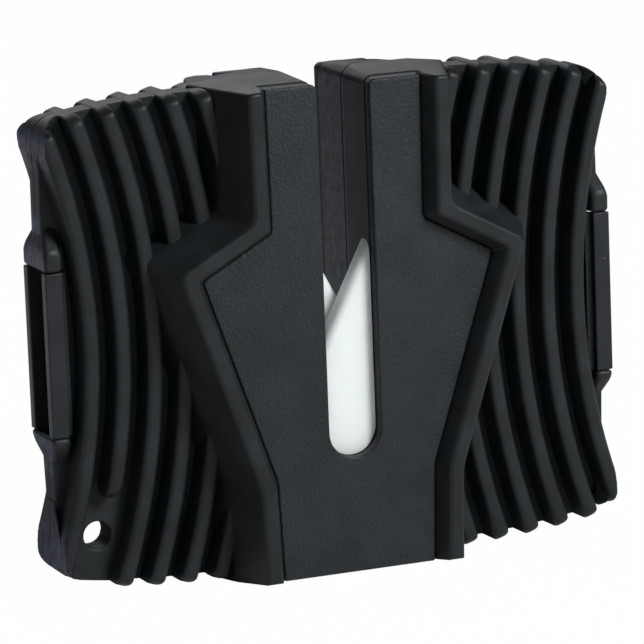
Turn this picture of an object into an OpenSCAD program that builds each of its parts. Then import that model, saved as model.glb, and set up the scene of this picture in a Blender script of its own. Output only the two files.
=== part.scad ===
// Pocket knife sharpener. Two moulded shells clamp a crossed pair of ceramic blocks.
// X runs across the grips, Y from the front (negative) to the back and Z upwards.
// The origin is the middle of the flat land that the body stands on.

/* [Body] */
// Height at the parting line
body_h = 58.2; // [56:0.2:62]
// Thickness from the front rim to the rear rim
body_t = 21; // [20:0.2:24]
// How far the top slopes down from the parting line to each rim
top_drop = 0.75; // [0.3:0.05:1.2]
// Width of the flat land under the body, from front to back
land_w = 10; // [6:0.5:14]
// How far the bottom rises from the land to each rim
foot_lift = 0.5; // [0.2:0.05:0.8]

/* [Grips] */
// Width over the straight edges of the grips
grip_w = 69.6; // [68:0.2:70]
// Height of the middle of the curved ribs
rib_mid_z = 29.4; // [28:0.2:31]
// Thickness of the plate between the rib floors of both shells
plate_t = 3.2; // [2.6:0.1:4]
// Height of a rib's crest over the parting line
rib_crest = 5; // [4.2:0.1:6]
// Width of a rib
rib_w = 1.9; // [1.5:0.1:2.2]
// Rounding along a rib's crest
rib_round = 0.65; // [0.3:0.05:0.7]
// Radius of the outermost rib
rib_first_r = 74.4; // [73.4:0.2:76]
// Distance from rib to rib
rib_pitch = 3.8; // [3.4:0.1:4.2]
// Number of ribs on each side
rib_count = 6; // [4:1:6]
// Distance of the ribs' centre from the grip's straight edge
rib_centre_off = 70; // [69.2:0.2:71.2]
// Radius of the crowned top edge of a grip
crown_r = 87; // [70:1:120]
// Radius of the crowned bottom edge of a grip
base_r = 100; // [80:1:140]
// Distance of the crowns' highest point from the middle of the body
crown_x = 16; // [12:0.5:20]
// How far the top of a grip lies under the top of the body
grip_drop = 0.9; // [0.6:0.1:2]
// How far the bottom of a grip lies over the land
grip_lift = 0.3; // [0.1:0.1:1]
// Rounding of a grip's corners
corner_r = 3; // [2:0.1:4]
// How far a rib's end stands out past the plate
rib_over = 0.4; // [0.1:0.1:0.8]

/* [Shield] */
// Width of the rim at the top
horn_w = 24.6; // [23:0.2:26]
// Width of the rim where the neck turns into the wings
neck_w = 24.2; // [22:0.2:26]
// Height of that turn
neck_z = 42.5; // [41:0.5:45]
// Width over the wing tips
wing_w = 42.6; // [38:0.2:46]
// Height of the wing tips
wing_z = 37.5; // [35:0.5:39]
// Width of the rim where the wings run into the stem
waist_w = 25.1; // [24:0.2:28]
// Height of that place
waist_z = 11.4; // [9:0.2:14]
// Width of the rim at the bottom
foot_w = 24.4; // [23:0.2:26]
// How much wider the shield is at the parting line, on each side
wall_spread = 3.8; // [2:0.1:4.5]
// Width of the rim's flat top
rim_w = 1.65; // [1.2:0.05:2]
// Width of the slope from the rim down to the panel
rim_slope_w = 0.95; // [0.4:0.05:1.2]
// Depth of the panel's face under the rim
recess_d = 2.15; // [1.6:0.05:2.6]

/* [Knife slot] */
// Width of the knife slot
slot_w = 6.3; // [5:0.1:7]
// Height of the centre of the slot's round bottom
slot_z = 16.9; // [16:0.1:20]
// Rounding of the slot's mouth
mouth_r = 1.2; // [0.6:0.1:1.8]

/* [Ceramic blocks] */
// Width of a block
block_w = 10.8; // [10.4:0.1:11.2]
// Thickness of a block
block_t = 2.95; // [2.4:0.05:3]
// Lean of each block from the vertical, in degrees
block_lean = 27.5; // [25:0.5:29]
// Distance from the top of the body down to the blocks' crossing
cross_drop = 25.7; // [25.2:0.1:27]
// Length of a block above the crossing
block_up = 11; // [9:0.5:11.5]
// Length of a block below the crossing
block_down = 18; // [17:0.5:19]

/* [Panels] */
// Thickness of the panels that fill the shields
panel_t = 1.5; // [1.2:0.05:1.6]

/* [Side rails] */
// How far each side rail stands out from the grip's straight edge
rail_stand = 0.4; // [0.2:0.05:1]
// Thickness of a rail from front to back
rail_t = 7.66; // [6.6:0.02:8.4]
// Depth of a rail's front face, measured inwards from its outer side
rail_d = 2.05; // [1.6:0.05:2.2]
// Length of the rail bosses
rail_len = 28.4; // [27:0.2:32]
// Length of the slope at each end of a rail boss
rail_slope = 3; // [2:0.1:3.6]
// Height of a rail boss's end over the parting line
rail_end_h = 1.2; // [0.8:0.1:1.6]
// Depth of a rail boss's end, measured inwards from its outer side
rail_end_in = 0.8; // [0.3:0.05:1]

/* [Rail inserts] */
// Length of an insert
insert_len = 19; // [16:0.2:20]
// How far an insert's middle lies under the middle of the ribs
insert_drop = 0.7; // [0:0.1:1.2]
// Thickness of an insert's lips
lip_t = 1.4; // [1:0.05:1.6]
// Thickness of the web that joins the lips
web_t = 0.9; // [0.7:0.05:1.1]
// Thickness of the web from front to back
web_w = 5.8; // [5.4:0.1:6.2]
// Length of the key that holds an insert between the shells
key_len = 2; // [1.6:0.1:2.4]
// Thickness of the key's neck
key_neck = 1.4; // [1:0.1:1.6]
// Thickness of the key's bead
key_bead = 2; // [1.8:0.1:2.2]
// Length of the key's bead
key_bead_len = 0.8; // [0.6:0.1:1]

/* [Lanyard hole] */
// Diameter of the lanyard hole
hole_d = 3.3; // [2.8:0.1:3.6]
// Distance of the hole from the grip's straight edge
hole_in = 5; // [4.6:0.1:5.4]
// Height of the hole
hole_z = 6.9; // [6.4:0.1:7.4]
// Bevel at the hole's mouths
hole_bevel = 0.3; // [0.1:0.05:0.4]
// Thickness of the flat pad round the hole
pad_t = 3.8; // [3.4:0.1:4.4]
// Height at which the second rib ends over the pad
pad_top_z = 12; // [11:0.1:13]

/* [Corners] */
// Height of the raised lip round a grip's corner, over the parting line
lip_h = 3.5; // [2.5:0.1:4.5]
// Thickness of that lip
lip_w = 0.8; // [0.5:0.05:1]
// Distance of the lip's start from the middle of the ribs
lip_start = 20.4; // [19:0.1:21]
// Distance of the outermost rib's upper end from the middle of the ribs
first_rib_up = 24.2; // [23.8:0.1:24.6]
// Distance of the outermost rib's lower end from the middle of the ribs
first_rib_down = 25.6; // [25.2:0.1:26]

/* [Screws] */
// Diameter of the screws' shanks
screw_d = 2; // [1.6:0.1:2.2]
// Diameter of the screws' heads
head_d = 3.8; // [3.2:0.1:4]
// Height of the screws' heads
head_h = 1.3; // [1:0.1:1.6]
// Length of the screws under the head
screw_len = 10.2; // [8:0.2:10.6]
// Diameter of the drive socket in a head
drive_d = 1.9; // [1.5:0.1:2.1]
// Depth of the drive socket
drive_deep = 0.8; // [0.5:0.1:0.9]
// Distance of the lower screw from the blocks' lower corners
lower_screw_off = 4.5; // [3.6:0.1:5.5]

/* [Hidden] */
$fn = 72;
// Room between pieces that are set into each other
seat_gap = 0.05;
// Room round the panels, round the screws' heads and round their shanks
panel_gap = 0.1;
head_gap = 0.15;
shank_gap = 0.1;
thread_gap = 0.03;
// Room past the screws' tips
tip_gap = 0.4;
// Overrun of every cut, and a reach past the whole body
over = 1;
far = 2 * body_h;
half_t = body_t / 2;
half_land = land_w / 2;
grip_half = grip_w / 2;
rail_half = grip_half + rail_stand;
plate_half = plate_t / 2;
pad_half = pad_t / 2;
slot_half = slot_w / 2;
// Faces inside a shell, measured out from the parting line
panel_face = half_t - recess_d;
panel_back = panel_face - panel_t;
front_block_face = panel_back - seat_gap;
front_block_back = front_block_face - block_t;
rear_block_face = front_block_back - seat_gap;
rear_block_back = rear_block_face - block_t;
clamp_h = rear_block_back - seat_gap;
// Heights of the grips' crowned edges
crown_top = body_h - grip_drop;
crown_bottom = grip_lift;
// Ribs and the lanyard hole, measured out from the middle of the body
rib_centre_x = grip_half + rib_centre_off;
hole_x = grip_half - hole_in;
// The blocks' crossing, and their upper and lower corners
cross_z = body_h - cross_drop;
block_top_z = cross_z + block_up * cos(block_lean);
block_low_z = cross_z - block_down * cos(block_lean) - block_w * sin(block_lean);
// Rails, inserts and keys, measured out from the middle of the body
rail_in_x = rail_half - rail_d;
rail_low_z = rib_mid_z - rail_len / 2;
rail_high_z = rib_mid_z + rail_len / 2;
insert_low_z = rib_mid_z - insert_drop - insert_len / 2;
web_lap = 0.15;
web_x = rail_in_x - web_t + web_lap;
key_x = web_x - key_len;
key_bead_x = key_x + key_bead_len;
// Angle that a rib's arc covers
rib_sweep = 56;
// Screws, the upper ones midway between the blocks and the top
upper_screw_x = (slot_half + horn_w / 2 - rim_w) / 2;
upper_screw_z = (block_top_z + body_h) / 2;
lower_screw_z = block_low_z - lower_screw_off;
screw_places = [[-upper_screw_x, upper_screw_z], [upper_screw_x, upper_screw_z], [0, lower_screw_z]];
head_seat = panel_back - seat_gap - head_h;
screw_tip = screw_len - head_seat;

// Right half of the rim's outline, from the top to the bottom
rim_path = [
    [horn_w / 2, body_h - top_drop],
    [neck_w / 2, neck_z],
    [wing_w / 2, wing_z],
    [waist_w / 2, waist_z],
    [foot_w / 2, foot_lift]
];

// Unit vector from a to b
function along(a, b) = (b - a) / norm(b - a);
// Unit vector that points out of the line from a to b
function outwards(a, b) = [-along(a, b).y, along(a, b).x];
// Corner b of the path a, b, c after both lines have moved out by d
function moved_corner(a, b, c, d) =
    let (n = outwards(a, b), m = outwards(b, c))
    b + (n + m) * d / (1 + n * m);
// Point at height z on the line from a to b, after it has moved out by d
function moved_point(a, b, d, z) =
    let (t = along(a, b), q = a + outwards(a, b) * d)
    [q.x + t.x * (z - q.y) / t.y, z];
// Right half of the rim's outline moved out by d, between the heights top and bottom
function side_path(d, top, bottom) = [
    moved_point(rim_path[0], rim_path[1], d, top),
    for (i = [1 : len(rim_path) - 2]) moved_corner(rim_path[i - 1], rim_path[i], rim_path[i + 1], d),
    moved_point(rim_path[len(rim_path) - 2], rim_path[len(rim_path) - 1], d, bottom)
];
// Whole outline from its right half
function closed(path) = concat(
    [for (p = path) [-p.x, p.y]],
    [for (i = [len(path) - 1 : -1 : 0]) path[i]]
);
// Centre of the rounding where a crowned edge meets the straight side
function corner_z(centre_x, centre_z, r, sense) =
    centre_z + sense * sqrt(pow(r - corner_r, 2) - pow(grip_half - corner_r - centre_x, 2));

// All that lies inside the line from a to b, whose wall spreads outwards below a level
module inside_of(a, b, level, slope) {
    t = along(a, b);
    translate([a.x, a.y, level])
        rotate([0, 0, atan2(t.y, t.x)])
        rotate([atan(slope), 0, 0])
        translate([-far, -2 * far, -far])
        cube([2 * far, 2 * far, 2 * far]);
}

// All that lies between the lines number i of both halves of an outline
module between(path, i, level, slope) {
    intersection() {
        inside_of(path[i], path[i + 1], level, slope);
        mirror([1, 0, 0]) inside_of(path[i], path[i + 1], level, slope);
    }
}

// Layer across the body, between two heights and two distances from the parting line
module layer(low_z, high_z, low_out, high_out) {
    translate([-grip_half, low_z, low_out])
        cube([grip_w, high_z - low_z, high_out - low_out]);
}

// Horns, wings and stem inside an outline given at a level, with sloping walls
module shield_form(path, level, slope, low_z, high_z, low_out, high_out) {
    intersection() {
        layer(wing_z, high_z, low_out, high_out);
        between(path, 0, level, slope);
    }
    intersection() {
        layer(low_z, high_z, low_out, high_out);
        between(path, 1, level, slope);
        between(path, 2, level, slope);
    }
    intersection() {
        layer(low_z, wing_z, low_out, high_out);
        between(path, 3, level, slope);
    }
}

// Raised middle of a shell, wider at the parting line than at the rim
module shield() {
    top_z = body_h - top_drop;
    intersection() {
        union()
            shield_form(rim_path, half_t, wall_spread / half_t, 0, body_h, 0, half_t);
        inside_of([-over, top_z], [over, top_z], half_t, top_drop / half_t);
        inside_of([over, foot_lift], [-over, foot_lift], half_t, foot_lift / (half_t - half_land));
    }
}

// Sloping recess over the panel, open at the top and the bottom
module recess() {
    shield_form(
        side_path(-rim_w, body_h - top_drop, foot_lift),
        half_t, -rim_slope_w / recess_d,
        -over, body_h + over, panel_face, half_t + over
    );
}

// Seat of the panel under the recess, a small step inside it
module panel_seat() {
    translate([0, 0, panel_back])
        linear_extrude(height = panel_t + over / 2)
        polygon(closed(side_path(-rim_w - rim_slope_w - seat_gap, body_h + over, -over)));
}

// Knife slot with its round bottom, cut right through
module slot_cut(gap) {
    translate([-slot_half - gap, slot_z, -half_t - over])
        cube([slot_w + 2 * gap, body_h, body_t + 2 * over]);
    translate([0, slot_z, -half_t - over])
        cylinder(r = slot_half + gap, h = body_t + 2 * over);
    for (side = [-1, 1])
        translate([side * (slot_half + gap + mouth_r), body_h - mouth_r, -half_t - over])
        difference() {
            translate([side > 0 ? -mouth_r - over / 2 : 0, 0, 0])
                cube([mouth_r + over / 2, mouth_r + over, body_t + 2 * over]);
            cylinder(r = mouth_r, h = body_t + 2 * over);
        }
}

// Cut that rounds one corner of a grip on the right
module corner_cut(centre_x, centre_z, r, sense, inset) {
    x = grip_half - corner_r;
    z = corner_z(centre_x, centre_z, r, sense);
    c = [x, z];
    t = (c - [centre_x, centre_z]) / norm(c - [centre_x, centre_z]);
    reach = corner_r + over;
    translate([x, z, -over])
    difference() {
        linear_extrude(height = half_t + over)
            polygon([[0, 0], t * reach, [reach, sense * reach], [reach, 0]]);
        cylinder(r = corner_r - inset, h = half_t + over);
    }
}

// Prism over the outline of both grips, inset at its ends and at its sides
module grip_prism(end_inset, side_inset, h) {
    for (side = [0, 1])
        mirror([side, 0, 0])
        difference() {
            intersection() {
                translate([-over, 0, 0]) cube([grip_half - side_inset + over, body_h, h]);
                translate([crown_x, crown_top - crown_r, -over])
                    cylinder(r = crown_r - end_inset, h = h + 2 * over);
                translate([crown_x, crown_bottom + base_r, -over])
                    cylinder(r = base_r - end_inset, h = h + 2 * over);
            }
            corner_cut(crown_x, crown_top - crown_r, crown_r, 1, max(end_inset, side_inset));
            corner_cut(crown_x, crown_bottom + base_r, base_r, -1, max(end_inset, side_inset));
        }
}

// Section of a rib, standing on the parting line
module rib_section() {
    translate([-rib_w / 2, 0]) square([rib_w, rib_crest - rib_round]);
    translate([rib_round - rib_w / 2, 0]) square([rib_w - 2 * rib_round, rib_crest]);
    for (s = [-1, 1])
        translate([s * (rib_w / 2 - rib_round), rib_crest - rib_round]) circle(r = rib_round);
}

// One curved rib on one side, about the ribs' centre on that side
module rib(i, side) {
    r = rib_first_r + i * rib_pitch;
    translate([side * rib_centre_x, rib_mid_z, 0])
        rotate([0, 0, side > 0 ? 180 - rib_sweep / 2 : -rib_sweep / 2])
        rotate_extrude(angle = rib_sweep)
        translate([r, 0]) rib_section();
}

// Middle of a rib at a height over the middle of the ribs
function rib_place(i, side, rise) =
    let (r = rib_first_r + i * rib_pitch)
    [side * (rib_centre_x - sqrt(r * r - rise * rise)), rib_mid_z + rise];

// Round end of a rib
module rib_end(i, side, rise) {
    p = rib_place(i, side, rise);
    translate([p.x, p.y, 0]) cylinder(d = rib_w, h = rib_crest - rib_round);
    translate([p.x, p.y, 0]) cylinder(d = rib_w - 2 * rib_round, h = rib_crest);
}

// All ribs of a shell. The outermost ones run out along the side, and one ends over the pad.
module ribs() {
    for (side = [-1, 1])
        intersection() {
            rib(0, side);
            translate([side > 0 ? 0 : -grip_half, rib_mid_z - first_rib_down, 0])
                cube([grip_half, first_rib_down + first_rib_up, half_t]);
        }
    intersection() {
        grip_prism(0, 0, half_t);
        union() {
            rib(1, 1);
            difference() {
                rib(1, -1);
                translate([-grip_half, -over, -over])
                    cube([grip_half, pad_top_z + rib_w / 2 + over, half_t]);
            }
            for (i = [2 : rib_count - 1])
                for (side = [-1, 1]) rib(i, side);
        }
    }
    rib_end(1, -1, pad_top_z + rib_w / 2 - rib_mid_z);
}

// Flat pad round the lanyard hole, between the first and the third rib
module pad() {
    intersection() {
        grip_prism(rib_over / 2, rib_over, half_t);
        translate([-rib_centre_x, rib_mid_z, 0])
            difference() {
                cylinder(r = rib_first_r + 2 * rib_pitch, h = pad_half);
                translate([0, 0, -over]) cylinder(r = rib_first_r, h = pad_half + 2 * over);
            }
        translate([-grip_half, 0, 0]) cube([grip_half, pad_top_z, half_t]);
    }
}

// Lanyard hole with its bevelled mouth
module hole_cut() {
    translate([-hole_x, hole_z, -over]) cylinder(d = hole_d, h = pad_half + 2 * over);
    translate([-hole_x, hole_z, pad_half - hole_bevel])
        cylinder(r1 = hole_d / 2, r2 = hole_d / 2 + hole_bevel + over, h = hole_bevel + over);
}

// Raised lips round the four outer corners
module corner_lips() {
    for (side = [0, 1])
        mirror([side, 0, 0])
        intersection() {
            difference() {
                grip_prism(rib_over, 0, lip_h);
                grip_prism(rib_over + lip_w, lip_w, lip_h + over);
            }
            for (end = [-1, 1])
                translate([grip_half - corner_r, rib_mid_z + (end > 0 ? lip_start : -body_h), -over])
                cube([corner_r + over, body_h - lip_start * (end > 0 ? 0 : 1), lip_h + 2 * over]);
        }
}

// Rail boss on the right, sloping down and inwards at both ends
module rail() {
    high = rail_t / 2;
    intersection() {
        linear_extrude(height = high) polygon([
            [rail_in_x, rail_low_z],
            [rail_half - rail_end_in, rail_low_z],
            [rail_half, rail_low_z + rail_slope],
            [rail_half, rail_high_z - rail_slope],
            [rail_half - rail_end_in, rail_high_z],
            [rail_in_x, rail_high_z]
        ]);
        translate([rail_in_x - over, 0, 0])
            rotate([90, 0, 90])
            linear_extrude(height = rail_d + 2 * over) polygon([
                [rail_low_z, 0],
                [rail_low_z, rail_end_h],
                [rail_low_z + rail_slope, high],
                [rail_high_z - rail_slope, high],
                [rail_high_z, rail_end_h],
                [rail_high_z, 0]
            ]);
    }
}

// Seat of the right insert and its key
module insert_cut() {
    translate([web_x - seat_gap, insert_low_z - seat_gap, -over])
        cube([rail_half - web_x + over, insert_len + 2 * seat_gap, half_t]);
    translate([key_x - seat_gap, insert_low_z - seat_gap, -over])
        cube([key_len + over, insert_len + 2 * seat_gap, key_neck / 2 + seat_gap + over]);
    translate([key_x - seat_gap, insert_low_z - seat_gap, -over])
        cube([key_bead_len + 2 * seat_gap, insert_len + 2 * seat_gap, key_bead / 2 + seat_gap + over]);
}

// What both shells share, with the parting line at zero and the outside upwards
module half_shell() {
    difference() {
        union() {
            grip_prism(rib_over, 0, plate_half);
            ribs();
            pad();
            corner_lips();
            rail();
            mirror([1, 0, 0]) rail();
            shield();
        }
        recess();
        panel_seat();
        slot_cut(0);
        hole_cut();
        insert_cut();
        mirror([1, 0, 0]) insert_cut();
    }
}

// Leaning block shape. Its honing edge runs through the crossing and it leans to one side.
module leaning(side, low_out, high_out, gap) {
    mirror([side > 0 ? 0 : 1, 0, 0])
        translate([0, cross_z, low_out])
        rotate([0, 0, -block_lean])
        translate([-gap, -block_down - gap, 0])
        cube([block_w + 2 * gap, block_up + block_down + 2 * gap, high_out - low_out]);
}

// Panel that fills the recess of a shield
module panel() {
    difference() {
        translate([0, 0, panel_back])
            linear_extrude(height = panel_t)
            polygon(closed(side_path(-rim_w - rim_slope_w - panel_gap, body_h - top_drop, foot_lift)));
        slot_cut(panel_gap / 2);
    }
}

// Stands a shell's own frame up, with its outside to the front
module to_front() { rotate([90, 0, 0]) children(); }

// The same with its outside to the back
module to_back() { mirror([0, 1, 0]) rotate([90, 0, 0]) children(); }

module front_shell() {
    color("#2f3335")
    to_front()
    difference() {
        half_shell();
        leaning(1, front_block_back, panel_back + over, seat_gap);
        leaning(-1, -over, rear_block_face, seat_gap);
        for (p = screw_places)
            translate([p.x, p.y, -over])
            cylinder(d = screw_d + 2 * thread_gap, h = screw_tip + tip_gap + over);
    }
}

module rear_shell() {
    color("#2b2f31")
    union() {
        to_back()
        difference() {
            half_shell();
            for (p = screw_places) {
                translate([p.x, p.y, -over]) cylinder(d = screw_d + 2 * shank_gap, h = half_t + over);
                translate([p.x, p.y, head_seat]) cylinder(d = head_d + 2 * head_gap, h = half_t);
            }
        }
        to_front()
        difference() {
            leaning(-1, -over, clamp_h, -seat_gap);
            slot_cut(0);
            translate([-grip_half, -over, -2 * over]) cube([grip_w, body_h, 2 * over]);
        }
    }
}

module front_panel() {
    color("#33383a") to_front() panel();
}

module rear_panel() {
    color("#33383a") to_back() panel();
}

module front_ceramic() {
    color("#ebf3f3") to_front() leaning(1, front_block_back, front_block_face, 0);
}

module rear_ceramic() {
    color("#e6efef") to_front() leaning(-1, rear_block_back, rear_block_face, 0);
}

// Channel on the right, with its key between the shells
module insert() {
    translate([0, 0, insert_low_z])
        linear_extrude(height = insert_len) {
            for (s = [-1, 1])
                translate([rail_in_x, s > 0 ? rail_t / 2 - lip_t : -rail_t / 2]) square([rail_d, lip_t]);
            translate([web_x, -web_w / 2]) square([web_t, web_w]);
            translate([key_x, -key_neck / 2]) square([key_len + web_t / 2, key_neck]);
            translate([key_x, -key_bead / 2]) square([key_bead_len, key_bead]);
        }
}

module left_insert() {
    color("#3b4044") mirror([1, 0, 0]) insert();
}

module right_insert() {
    color("#3b4044") insert();
}

// Screws from the back, under the rear panel
module screws() {
    color("#9a9ea2")
    for (p = screw_places)
        translate([p.x, head_seat, p.y])
        rotate([-90, 0, 0])
        difference() {
            union() {
                cylinder(d = head_d, h = head_h);
                translate([0, 0, -screw_len]) cylinder(d = screw_d, h = screw_len + head_h / 2);
            }
            translate([0, 0, head_h - drive_deep]) cylinder(d = drive_d, h = drive_deep + over, $fn = 6);
        }
}

front_shell();
rear_shell();
front_panel();
rear_panel();
front_ceramic();
rear_ceramic();
left_insert();
right_insert();
screws();
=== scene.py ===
"""Dresses a pocket knife sharpener: shells, inlaid panels, rail inserts and crossed ceramic blocks."""

import logging
import math
from dataclasses import dataclass
from enum import Enum, IntEnum
from typing import Iterable, Iterator

import bmesh
import bpy
from bmesh.types import BMEdge, BMesh, BMFace, BMVert
from bpy.types import ID, Material, Mesh, NodeSocket, Object, World
from mathutils import Matrix, Vector


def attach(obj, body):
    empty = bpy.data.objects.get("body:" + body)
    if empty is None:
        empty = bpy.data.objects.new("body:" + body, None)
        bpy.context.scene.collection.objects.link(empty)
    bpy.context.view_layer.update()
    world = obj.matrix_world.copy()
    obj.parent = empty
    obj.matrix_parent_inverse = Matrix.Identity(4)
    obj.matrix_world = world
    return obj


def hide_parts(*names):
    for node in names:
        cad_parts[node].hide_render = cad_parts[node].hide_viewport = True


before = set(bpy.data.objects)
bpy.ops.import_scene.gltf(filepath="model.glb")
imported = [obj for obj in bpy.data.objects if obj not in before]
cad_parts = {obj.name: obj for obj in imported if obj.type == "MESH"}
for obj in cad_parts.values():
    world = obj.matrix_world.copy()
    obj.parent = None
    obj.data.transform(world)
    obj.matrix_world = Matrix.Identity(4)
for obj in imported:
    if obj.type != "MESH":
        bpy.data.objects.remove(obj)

MM = 0.001
LOG = logging.getLogger("sharpener")
Point = tuple[float, float]
Place = tuple[float, float, float]
Colour = tuple[float, float, float]

# Millimetres: a difference in place too small to see, and a distance that only the outer faces are past
HAIR = 0.01
RAISED = 0.5

# Largest angle between faces that is shaded smooth, in degrees
SMOOTH_UNDER = 32.0

# Sockets of a Mix node that blends colours
MIX_FACTOR, MIX_LOW, MIX_HIGH, MIX_RESULT = 0, 6, 7, 2


class Side(Enum):
    """Which half of the body a piece belongs to; the value is the sign of Y that its outside faces."""

    FRONT = -1
    REAR = 1


class Hand(IntEnum):
    """Which grip; the value is the sign of its X."""

    LEFT = -1
    RIGHT = 1


class End(IntEnum):
    """Which end of a grip; the value is the sign of its height over the grip's middle."""

    BOTTOM = -1
    TOP = 1


# Shader helpers


class Value:
    """A shader socket that can be used in Python expressions."""

    def __init__(self, graph: "Graph", socket: NodeSocket) -> None:
        """Keeps the graph and the output socket that this value stands for."""
        self.graph = graph
        self.socket = socket

    def _math(self, operation: str, *values: "Value | float") -> "Value":
        """Returns the result of a Math node with these inputs in order."""
        return self.graph.node("ShaderNodeMath", {"operation": operation}, dict(enumerate(values)), "Value")

    def __add__(self, other: "Value | float") -> "Value":
        """Returns the sum."""
        return self._math("ADD", self, other)

    __radd__ = __add__

    def __mul__(self, other: "Value | float") -> "Value":
        """Returns the product."""
        return self._math("MULTIPLY", self, other)

    __rmul__ = __mul__

    def __sub__(self, other: "Value | float") -> "Value":
        """Returns the difference."""
        return self._math("SUBTRACT", self, other)

    def __rsub__(self, other: float) -> "Value":
        """Returns the reflected difference."""
        return self._math("SUBTRACT", other, self)

    def __gt__(self, other: "Value | float") -> "Value":
        """Returns one where this value is greater."""
        return self._math("GREATER_THAN", self, other)

    def __lt__(self, other: "Value | float") -> "Value":
        """Returns one where this value is less."""
        return self._math("LESS_THAN", self, other)

    def __abs__(self) -> "Value":
        """Returns the size without its sign."""
        return self._math("ABSOLUTE", self)

    def ramp(self, low: float, high: float) -> "Value":
        """Returns this value spread smoothly from zero at the low end to one at the high end."""
        inputs = {"Value": self, "From Min": low, "From Max": high}
        return self.graph.node("ShaderNodeMapRange", {"interpolation_type": "SMOOTHSTEP"}, inputs, "Result")


class Graph:
    """The node graph of a material or of the world."""

    def __init__(self, owner: Material | World, shader: str = "Principled BSDF") -> None:
        """Args:
            owner: The material or world.
            shader: The name of its main shader.
        """
        owner.use_nodes = True
        self.owner = owner
        self.tree = owner.node_tree
        self.shader = self.tree.nodes[shader]

    def node(self, kind: str, settings: dict, inputs: dict, result: str | int = 0) -> Value:
        """Adds a node.

        Args:
            kind: The node's type.
            settings: Its properties, which are set first.
            inputs: Values or links for its sockets, by name or number.
            result: The output socket that is returned.

        Returns:
            The chosen output.
        """
        made = self.tree.nodes.new(kind)
        for key, value in settings.items():
            setattr(made, key, value)
        for key, value in inputs.items():
            if isinstance(value, Value):
                self.tree.links.new(value.socket, made.inputs[key])
            else:
                made.inputs[key].default_value = value
        return Value(self, made.outputs[result])

    def place(self) -> Value:
        """Returns the object coordinates, in metres."""
        return self.node("ShaderNodeTexCoord", {}, {}, "Object")

    def axis(self, vector: Value, name: str) -> Value:
        """Returns one component of a vector, by its letter."""
        return self.node("ShaderNodeSeparateXYZ", {}, {"Vector": vector}, name)

    def sideways(self) -> Value:
        """Returns a mask of the faces that look to the left or the right."""
        facing = self.node("ShaderNodeNewGeometry", {}, {}, "True Normal")
        return abs(self.axis(facing, "X")).ramp(0.8, 0.95)

    def noise(self, size_mm: float, detail: float, rough: float) -> Value:
        """Returns a noise from zero to one, with its largest features' size and its finer layers."""
        inputs = {"Vector": self.place(), "Scale": 1 / (size_mm * MM), "Detail": detail, "Roughness": rough}
        return self.node("ShaderNodeTexNoise", {}, inputs, "Fac")

    def cells(self, feature_mm: float, output: str, smooth: float | None = None) -> Value:
        """Args:
            feature_mm: The size of a cell.
            output: Distance or Color.
            smooth: Smoothness of the borders, or None for plain cells.

        Returns:
            A cell pattern's output.
        """
        settings = {"feature": "F1" if smooth is None else "SMOOTH_F1"}
        inputs = {"Vector": self.place(), "Scale": 1 / (feature_mm * MM)}
        if smooth is not None:
            inputs["Smoothness"] = smooth
        return self.node("ShaderNodeTexVoronoi", settings, inputs, output)

    def specks(self, apart_mm: float, radius: float, share: float, lot: str) -> Value:
        """Args:
            apart_mm: The distance between the places of specks.
            radius: The size of a speck, as a share of that distance.
            share: The share of the places that has a speck.
            lot: The colour channel that chooses them.

        Returns:
            A mask of sparse specks.
        """
        near = self.cells(apart_mm, "Distance") < radius
        chance = self.node("ShaderNodeSeparateColor", {}, {"Color": self.cells(apart_mm, "Color")}, lot)
        return near * (chance > 1 - share)

    def blend(self, factor: Value, low: Value | Colour, high: Value | Colour) -> Value:
        """Args:
            factor: The share of the second colour.
            low: The first colour.
            high: The second colour.

        Returns:
            The mixed colour.
        """
        ends = [c if isinstance(c, Value) else (*c, 1.0) for c in (low, high)]
        inputs = {MIX_FACTOR: factor, MIX_LOW: ends[0], MIX_HIGH: ends[1]}
        return self.node("ShaderNodeMix", {"data_type": "RGBA"}, inputs, MIX_RESULT)

    def bump(self, height: Value, depth_mm: float, strength: float, under: Value | None = None) -> Value:
        """Args:
            height: Height between zero and one.
            depth_mm: The real depth of the relief.
            strength: The share of it that shows.
            under: A bump that this one lies on.

        Returns:
            The changed normal.
        """
        inputs = {"Height": height, "Distance": depth_mm * MM, "Strength": strength}
        if under is not None:
            inputs["Normal"] = under
        return self.node("ShaderNodeBump", {}, inputs, "Normal")

    def link(self, value: Value, socket: str) -> None:
        """Feeds a value to a socket of the main shader."""
        self.tree.links.new(value.socket, self.shader.inputs[socket])

    def fix(self, **sockets: float | tuple) -> None:
        """Sets constants on the main shader, with underscores for the spaces in the names."""
        for key, value in sockets.items():
            self.shader.inputs[key.replace("_", " ")].default_value = value


# Finishes


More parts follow.
